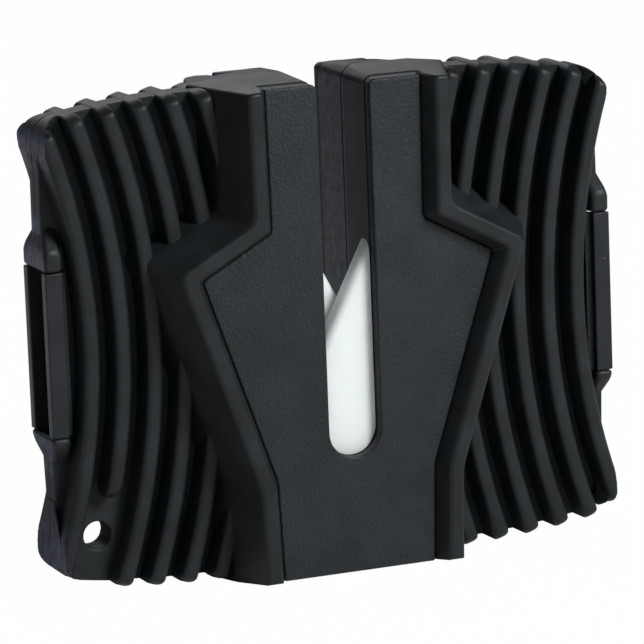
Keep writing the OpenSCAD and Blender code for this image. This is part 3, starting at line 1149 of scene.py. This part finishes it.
        outer, inner = run(0.0), run(self.lip_w)
        outline = [(hand * x, z) for x, z in outer + inner[::-1]]
        prism(bm, outline, 0.0, self.lip_h)
        bmesh.ops.triangulate(bm, faces=[f for f in bm.faces if len(f.verts) > 4])
        for v in (v for v in bm.verts if v.co.y < -RAISED):
            along = sense * (v.co.z - start)
            inward = g.half_w - hand * v.co.x
            fall = max(0.0, 1.0 - along / self.lip_rise) * self.lip_fall
            fall += max(0.0, inward - self.lip_flat) * self.lip_lean
            v.co.y = -max(g.plate_half - self.lip_sink, self.lip_h - fall)
        soften(bm, [e for e in sharp(bm, 40.0) if beyond(e, RAISED)], self.lip_soft, 3)
        soften(bm, [e for e in sharp(bm, 40.0) if at_parting(e)], self.part_soft, 1)
        return bm

    def bosses(self, hand: Hand) -> Iterator[BMesh]:
        """Makes the two ends of a rail boss, sloping inwards and down.

        Args:
            hand: The grip.
        """
        rail, mid = self.rail, self.grip.mid_z
        x0, x1 = rail.half - rail.depth, rail.half
        for sense in End:
            tip = mid + sense * self.rail_len / 2
            knee = tip - sense * self.rail_slope
            inner = (rail.high_z if sense is End.TOP else rail.low_z) + sense * self.seat_gap
            bm = bmesh.new()
            spots = []
            for z, x, out in ((inner, x1, rail.high), (knee, x1, rail.high),
                              (tip, x1 - self.rail_end_in, self.rail_end_h)):
                spots += [(x0 - self.boss_root, 0.0, z), (x0, -out, z), (x, 0.0, z), (x, -out, z)]
            for x, y, z in spots:
                bm.verts.new((hand * x, y, z))
            bmesh.ops.convex_hull(bm, input=bm.verts)
            bmesh.ops.dissolve_limit(bm, angle_limit=math.radians(1.0), verts=bm.verts, edges=bm.edges)
            outwards(bm)
            soften(bm, [e for e in sharp(bm, 12.0) if not at_parting(e)], self.boss_soft, 4)
            for v in bm.verts:
                v.co.y = min(v.co.y, 0.0)
            yield bm


@dataclass
class Panels:
    """The inlaid panels that fill the shields."""

    shield: ShieldShape
    finish: Material
    gap: float = 0.1
    foot: float = 0.12
    soft: float = 0.28
    turn_soft: float = 0.5

    def build(self) -> Iterator[Object]:
        """Makes both panels."""
        s = self.shield
        for side in Side:
            bm = bmesh.new()
            path = s.moved(-s.rim_w - s.rim_slope_w - self.gap, s.body_h - s.top_drop, self.foot)
            slot = s.slot(s.body_h - s.top_drop, self.gap / 2)
            face = s.half_t - s.recess_d
            prism(bm, s.around(path, slot), face - s.panel_t, face)
            soften(bm, turns(bm, [path]), self.turn_soft, 3)
            soften(bm, sharp(bm, 40.0), self.soft, 3, False)
            yield dressed(f"{side.name.lower()}_panel", "inlay", bm, self.finish, side)


@dataclass
class Blocks:
    """The crossed ceramic blocks."""

    finish: Material
    width: float = 10.8
    thick: float = 2.95
    lean: float = 27.5
    cross_z: float = 32.5
    up: float = 11.0
    down: float = 18.0
    front_back: float = 3.85
    rear_back: float = 0.85
    soft: float = 0.28
    hone_soft: float = 0.95

    def build(self) -> Iterator[Object]:
        """Makes both blocks."""
        for name, hand, back in (("front_ceramic", Hand.RIGHT, self.front_back),
                                 ("rear_ceramic", Hand.LEFT, self.rear_back)):
            bm = box((self.width, self.thick, self.up + self.down),
                     (self.width / 2, -back - self.thick / 2, (self.up - self.down) / 2))
            long_edges = [e for e in bm.edges if e.calc_length() > self.width * 2]
            soften(bm, long_edges, self.hone_soft, 6)
            soften(bm, sharp(bm, 50.0), self.soft, 3)
            turn = Matrix.Rotation(math.radians(self.lean), 4, "Y")
            bmesh.ops.rotate(bm, verts=bm.verts, cent=(0.0, 0.0, 0.0), matrix=turn)
            if hand is Hand.LEFT:
                bmesh.ops.scale(bm, verts=bm.verts, vec=(-1.0, 1.0, 1.0))
                bmesh.ops.reverse_faces(bm, faces=bm.faces)
            bmesh.ops.translate(bm, verts=bm.verts, vec=(0.0, 0.0, self.cross_z))
            yield dressed(name, "block", bm, self.finish)


@dataclass
class RailInserts:
    """The channel-shaped inserts in the side rails."""

    rail: RailShape
    finish: Material
    lip_t: float = 1.4
    web_x: float = 32.4
    web_t: float = 0.9
    web_half: float = 2.9
    soft: float = 0.16

    def build(self) -> Iterator[Object]:
        """Makes both inserts."""
        rail = self.rail
        x0, x1 = rail.half - rail.depth, rail.half
        floor = self.web_x + self.web_t
        lip = rail.high - self.lip_t
        half = [(x1, lip), (x1, rail.high), (x0, rail.high), (x0, self.web_half), (self.web_x, self.web_half)]
        section = half + [(x, -y) for x, y in reversed(half)] + [(floor, -lip), (floor, lip)]
        for hand in Hand:
            bm = bmesh.new()
            base = bm.faces.new([bm.verts.new((hand * x, y, rail.low_z)) for x, y in section])
            drawn = bmesh.ops.extrude_face_region(bm, geom=[base])
            tops = picked(drawn["geom"], BMVert)
            bmesh.ops.translate(bm, verts=tops, vec=(0.0, 0.0, rail.high_z - rail.low_z))
            outwards(bm)
            soften(bm, sharp(bm, 40.0), self.soft, 3)
            yield dressed(f"{hand.name.lower()}_insert", "channel", bm, self.finish)


@dataclass
class Screws:
    """The hidden screws, which keep their CAD shape."""

    finish: Material

    def build(self) -> Iterator[Object]:
        """Gives the screws their finish."""
        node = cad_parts["screws"]
        node.data.materials.clear()
        node.data.materials.append(self.finish)
        yield node


# Studio


@dataclass
class PhotoCamera:
    """The camera at the photograph's viewing angle, from the fit to the object's own points."""

    azimuth: float = 0.385065315
    elevation: float = 0.200054093
    roll: float = 0.0387646177
    distance: float = 530.0
    focal_px: float = 4638.52263
    shift_x: float = 4.24986726
    shift_y: float = -0.600446286
    picture_px: int = 644
    origin: Place = (0.0, -10.5, 29.4)

    def build(self) -> None:
        """Makes the camera."""
        ca, sa = math.cos(self.azimuth), math.sin(self.azimuth)
        ce, se = math.cos(self.elevation), math.sin(self.elevation)
        right = Vector((ca, -sa, 0.0))
        back = Vector((-sa * ce, -ca * ce, se))
        up = Vector((sa * se, ca * se, ce))
        cr, sr = math.cos(self.roll), math.sin(self.roll)
        axis_x = right * cr - up * sr
        axis_y = right * sr + up * cr
        spot = Vector(self.origin) - axis_x * self.shift_x - axis_y * self.shift_y + back * self.distance
        data = bpy.data.cameras.new("photo_camera")
        data.sensor_width = 36.0
        data.lens = self.focal_px / self.picture_px * data.sensor_width
        data.clip_start, data.clip_end = 0.01, 20.0
        camera = placed("photo_camera", data)
        turn = Matrix((axis_x, axis_y, back)).transposed().to_4x4()
        camera.matrix_world = Matrix.Translation(spot * MM) @ turn
        bpy.context.scene.camera = camera


@dataclass
class Studio:
    """A pale floor that runs up into a backdrop, soft lamps and an even surround."""

    floor_half: float = 1.6
    wall_z: float = 1.8
    bend_r: float = 0.6
    glow: float = 0.985
    even: float = 0.05
    aim: Place = (0.0, 0.0, 0.029)
    rays: tuple[str, str] = ("Is Camera Ray", "Is Transmission Ray")

    def build(self) -> None:
        """Makes the floor, the lamps and the surround."""
        self.floor()
        self.lamp("key", (0.24, -0.40, 0.36), (0.16, 0.16), 3.2, (0.97, 1.0, 1.0))
        self.lamp("left", (-0.50, -0.06, 0.20), (0.20, 0.30), 0.22, (0.90, 0.90, 1.0))
        self.lamp("back", (0.06, 0.45, 0.30), (0.40, 0.16), 0.5, (0.95, 0.96, 1.0))
        self.surround()
        bpy.context.scene.view_settings.view_transform = "Standard"

    def seen(self, g: Graph) -> Value:
        """Returns one for rays that come from the camera, also through something clear."""
        camera, clear = (g.node("ShaderNodeLightPath", {}, {}, name) for name in self.rays)
        return (camera + clear) > 0.5

    def floor(self) -> None:
        """Makes the floor and the backdrop as one sheet."""
        bm = bmesh.new()
        h = self.floor_half
        bmesh.ops.create_grid(bm, x_segments=1, y_segments=1, size=h)
        far = [e for e in bm.edges if all(v.co.y > h * 0.9 for v in e.verts)]
        made = bmesh.ops.extrude_edge_only(bm, edges=far)
        bmesh.ops.translate(bm, verts=picked(made["geom"], BMVert), vec=(0.0, 0.0, self.wall_z))
        bend = [e for e in bm.edges if all(v.co.y > h * 0.9 and abs(v.co.z) < 1e-6 for v in e.verts)]
        bmesh.ops.bevel(bm, geom=bend, offset=self.bend_r, offset_type="OFFSET", affect="EDGES", segments=12,
                        profile=0.5, material=-1)
        for face in bm.faces:
            face.smooth = True
        sheet = placed("floor", to_mesh("floor", bm))
        g = Graph(bpy.data.materials.new("pale_sheet"))
        g.fix(Base_Color=(0.95, 0.95, 0.95, 1.0), Roughness=0.9, Specular_IOR_Level=0.1)
        glow = g.node("ShaderNodeEmission", {}, {"Strength": 1.0})
        plain = Value(g, g.shader.outputs[0])
        mixed = g.node("ShaderNodeMixShader", {}, {0: self.seen(g) * self.glow, 1: plain, 2: glow})
        g.tree.links.new(mixed.socket, g.tree.nodes["Material Output"].inputs["Surface"])
        sheet.data.materials.append(g.owner)

    def lamp(self, name: str, at: Place, size: tuple[float, float], watts: float, colour: Colour) -> None:
        """Adds one soft lamp that faces the middle of the object.

        Args:
            name: The lamp's name.
            at: Its place, in metres.
            size: Its width and height.
            watts: Its power.
            colour: Its colour.
        """
        data = bpy.data.lights.new(name, "AREA")
        data.shape = "RECTANGLE"
        data.size, data.size_y = size
        data.energy = watts
        data.color = colour
        way = Vector(self.aim) - Vector(at)
        turn = way.to_track_quat("-Z", "Y").to_matrix().to_4x4()
        placed(name, data).matrix_world = Matrix.Translation(at) @ turn

    def surround(self) -> None:
        """Lights the scene evenly and shows white to the camera."""
        world = bpy.data.worlds.new("surround")
        bpy.context.scene.world = world
        g = Graph(world, "Background")
        g.fix(Color=(1.0, 1.0, 1.0, 1.0))
        g.link(self.seen(g) * (1 - self.even) + self.even, "Strength")


def main() -> None:
    """Builds and dresses the sharpener, the studio and the camera."""
    logging.basicConfig(level=logging.INFO, format="%(message)s")
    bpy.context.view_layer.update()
    shield, grip, rail = ShieldShape(), GripShape(), RailShape()
    shell = MouldedPlastic("black_moulding").build()
    # The rail moulding gets a fainter painted sheen on its faces that look sideways
    insert = MouldedPlastic("rail_moulding", dark=(0.011, 0.0125, 0.0145), light=(0.018, 0.0205, 0.0235),
                            painted_sheen=(0.028, 0.029, 0.042), rough=0.38, dust=0.12).build()
    panel = LeatherGrain("leather_grain").build()
    ceramic = FiredCeramic("fired_ceramic").build()
    steel = PlatedSteel("plated_steel").build()
    for part in (Shells(shield, grip, rail, shell), Panels(shield, panel), Blocks(ceramic),
                 RailInserts(rail, insert), Screws(steel)):
        for piece in part.build():
            LOG.info("%s: %d faces", piece.name, len(piece.data.polygons))
    Studio().build()
    PhotoCamera().build()


if __name__ == "__main__":
    main()
